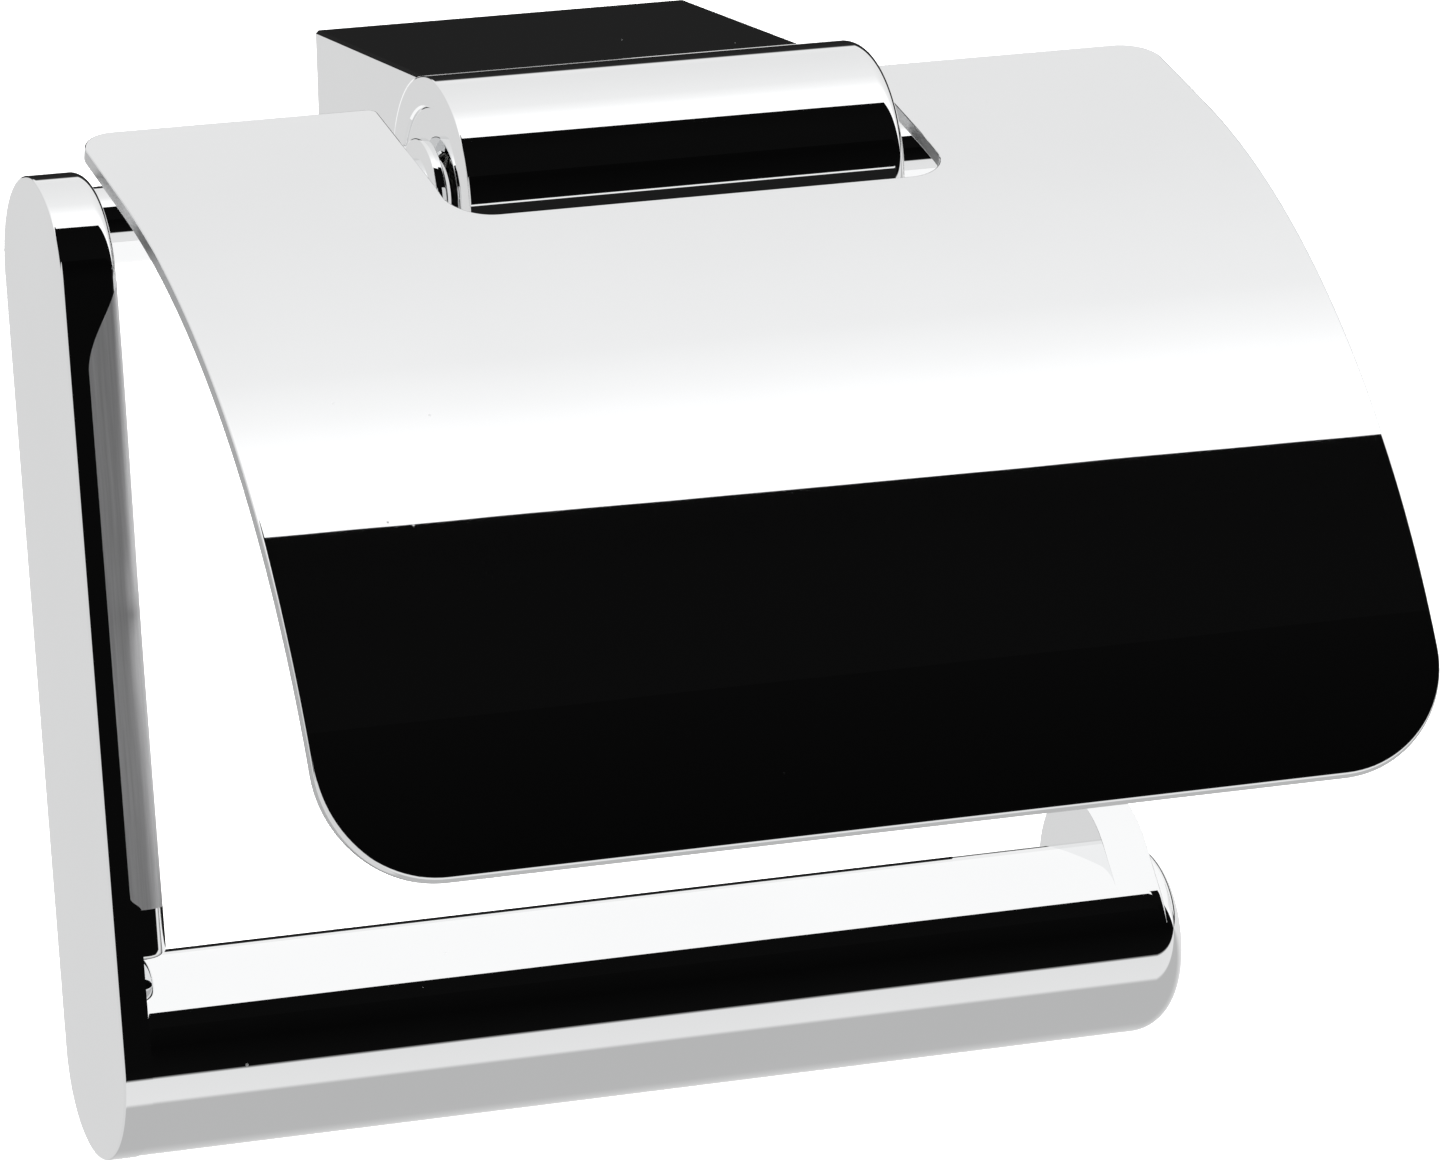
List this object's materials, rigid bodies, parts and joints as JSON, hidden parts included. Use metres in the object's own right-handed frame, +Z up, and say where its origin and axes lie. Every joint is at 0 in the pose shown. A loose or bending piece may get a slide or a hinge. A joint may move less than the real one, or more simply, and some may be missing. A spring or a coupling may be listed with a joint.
{
  "type": "toilet paper holder",
  "caption": "Wall-mounted toilet paper holder: a roll bar hangs from one side arm that swings outwards, under a curved cover that lifts.",
  "frame": {"origin": "middle of the mounting face, in the wall plane, level with the pivot axis", "axes": "+Z up, +Y into the wall, +X to the right as seen from in front; the roll bar and the pivot shaft run along X"},
  "size_m": [0.1521, 0.1293, 0.1292],
  "materials": {
    "chrome": "polished chrome plate",
    "steel": "plain stainless steel",
    "nylon": "white nylon bushes"
  },
  "bodies": {
    "mount": {"mount_block": "chrome", "barrel": "chrome", "left_end_cap": "chrome", "right_end_cap": "chrome", "left_bush": "nylon", "right_bush": "nylon", "swing_stop_ring": "steel", "wall_bracket": "steel", "bracket_grub_screw": "steel", "barrel_screws": "steel"},
    "frame": {"left_arm": "chrome", "pivot_shaft": "chrome", "left_shaft_collar": "chrome", "right_shaft_collar": "chrome", "swing_stop_pin": "steel", "cover_stop_pin": "steel", "shaft_end_clip": "steel", "roll_bar": "chrome", "end_tab": "chrome", "bar_insert": "steel", "bar_insert_screw": "steel", "bar_grub_screw": "steel"},
    "cover": {"cover_sheet": "chrome", "left_lug": "chrome", "right_lug": "chrome", "left_lug_sleeve": "nylon", "right_lug_sleeve": "nylon"}
  },
  "joints": [
    {"name": "frame_swing", "type": "hinge", "parent": "mount", "child": "frame", "pos_m": [0, -0.0443, 0], "axis": [-1, 0, 0], "range_deg": [0, 35]},
    {"name": "cover_swing", "type": "hinge", "parent": "frame", "child": "cover", "pos_m": [0, -0.0443, 0], "axis": [-1, 0, 0], "range_deg": [0, 85]}
  ]
}
